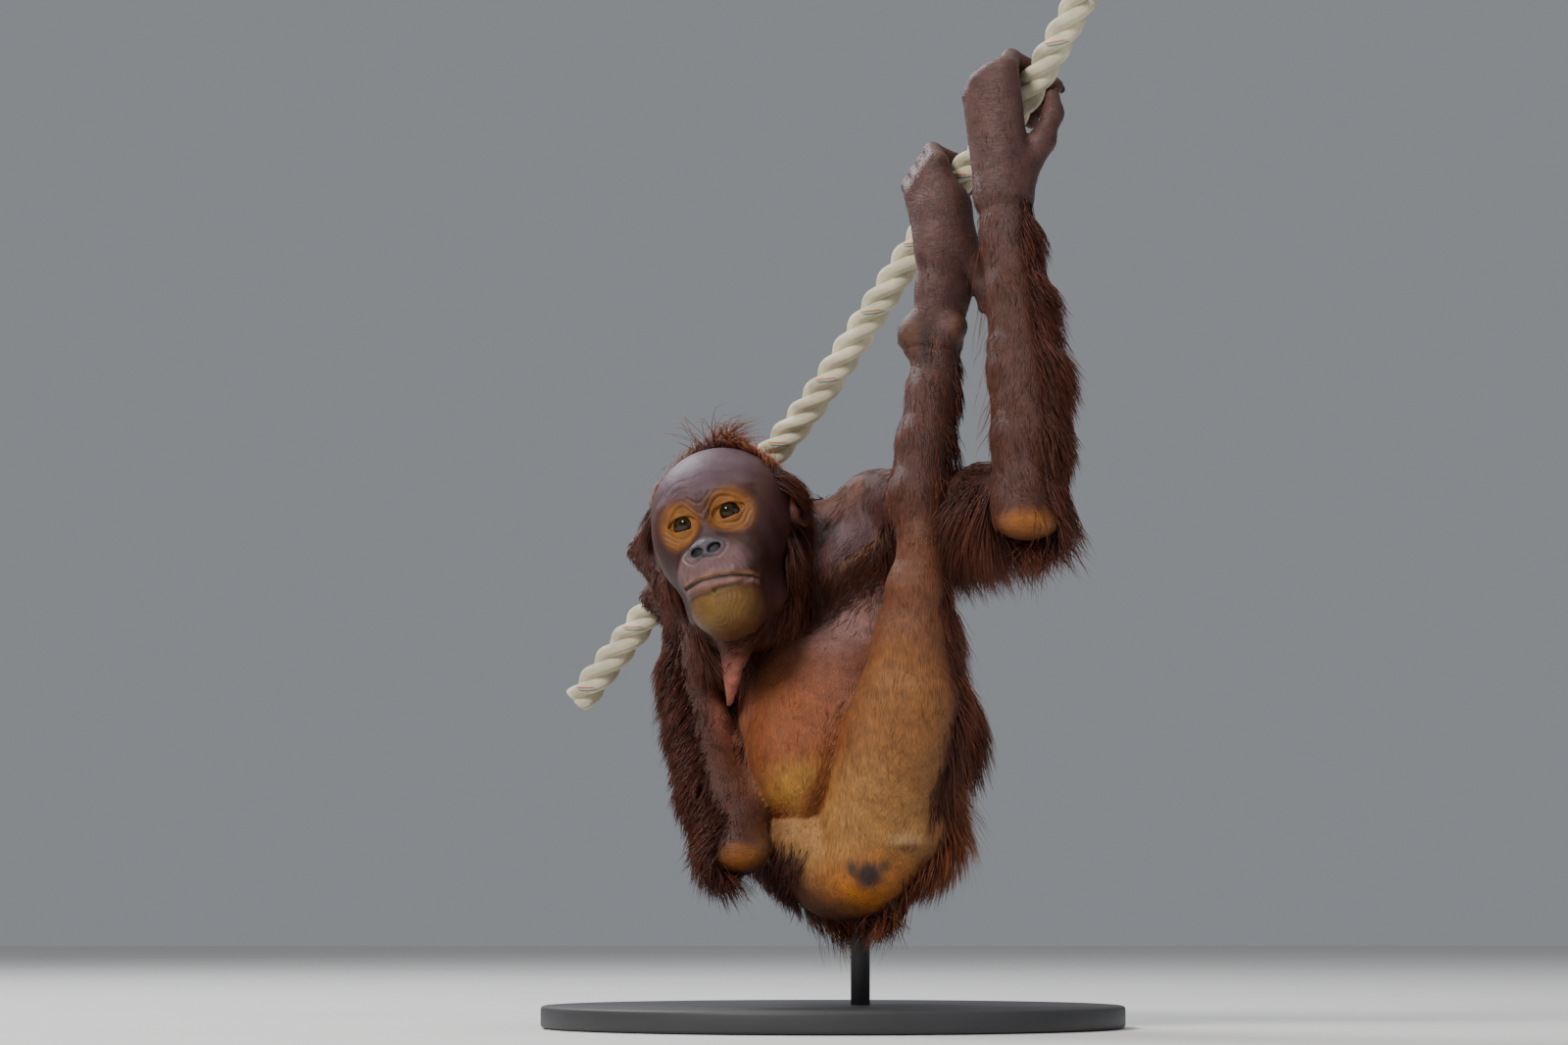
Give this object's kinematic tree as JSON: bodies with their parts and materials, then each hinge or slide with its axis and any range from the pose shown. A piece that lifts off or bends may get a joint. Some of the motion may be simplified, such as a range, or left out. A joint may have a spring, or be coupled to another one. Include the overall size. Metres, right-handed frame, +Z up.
{
  "type": "hanging young orangutan figure",
  "caption": "Life-size still model of a young orangutan hanging by hands and feet from a slanting length of rope, held on a round display base by a rod",
  "frame": {"origin": "centre of the underside of the round base, at the bottom of the bounding box", "axes": "+Z up; -Y towards the viewer of the picture; +X towards the animal's raised left hand, the right-hand side of the picture"},
  "size_m": [0.43, 0.43, 0.7637],
  "materials": {
    "coat": "long reddish-brown hair over thin-haired skin",
    "bare_skin": "bare creased mauve-brown skin",
    "eye_surface": "wet dark brown",
    "rope_fibre": "cream three-strand fibre",
    "stand_paint": "matt dark grey"
  },
  "bodies": {
    "root": {"perch_rope": "rope_fibre", "torso": "coat", "neck": "coat", "head": "coat", "eye_left": "eye_surface", "eye_right": "eye_surface", "rump": "coat", "upper_arm_left": "coat", "upper_arm_right": "coat", "thigh_left": "coat", "thigh_right": "coat", "forearm_left": "coat", "forearm_right": "coat", "shank_left": "coat", "shank_right": "coat", "hand_left": "bare_skin", "hand_right": "bare_skin", "foot_left": "bare_skin", "foot_right": "bare_skin", "ear_left": "bare_skin", "ear_right": "bare_skin", "stand_base": "stand_paint", "stand_rod": "stand_paint"}
  },
  "joints": []
}
